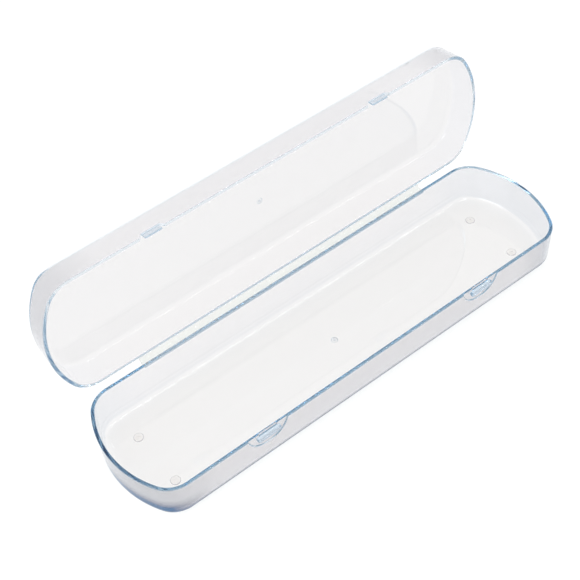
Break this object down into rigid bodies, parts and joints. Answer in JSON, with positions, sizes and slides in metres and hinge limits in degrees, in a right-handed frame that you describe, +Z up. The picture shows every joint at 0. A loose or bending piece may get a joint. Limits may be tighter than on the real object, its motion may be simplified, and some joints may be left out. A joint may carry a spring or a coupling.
{
  "type": "pencil case",
  "caption": "Clear hinged pencil case: a shallow tray and a matching lid with bowed ends, joined by a flexing strip along the back and closed by snap latches at the front.",
  "frame": {"origin": "on the surface the case stands on, under the middle of the standing, open case's outline", "axes": "+X along the case's length to its right end as seen from the latches, -Y towards the latches, +Z up; the lid stands open at 93.5 degrees"},
  "size_m": [0.205, 0.0732, 0.0744],
  "materials": {
    "tray": "polished clear polypropylene, faintly blue",
    "lid": "polished clear polypropylene, faintly blue",
    "hinge": "clear polypropylene, slightly cloudy where it flexes",
    "latch": "clear polypropylene, bluer where it is thick",
    "foot": "polished clear polypropylene dome"
  },
  "bodies": {
    "base": {"base_tray": "tray", "base_hinge_leaf": "hinge", "hinge_web": "hinge", "left_catch": "latch", "right_catch": "latch", "front_left_foot": "foot", "back_left_foot": "foot", "front_right_foot": "foot", "back_right_foot": "foot"},
    "lid": {"lid_shell": "lid", "lid_hinge_leaf": "hinge", "left_tongue": "latch", "right_tongue": "latch"}
  },
  "joints": [
    {"name": "lid_hinge", "type": "hinge", "parent": "base", "child": "lid", "pos_m": [0, 0.02032, 0.0186], "axis": [-1, 0, 0], "range_deg": [-93.5, 86.5]}
  ]
}
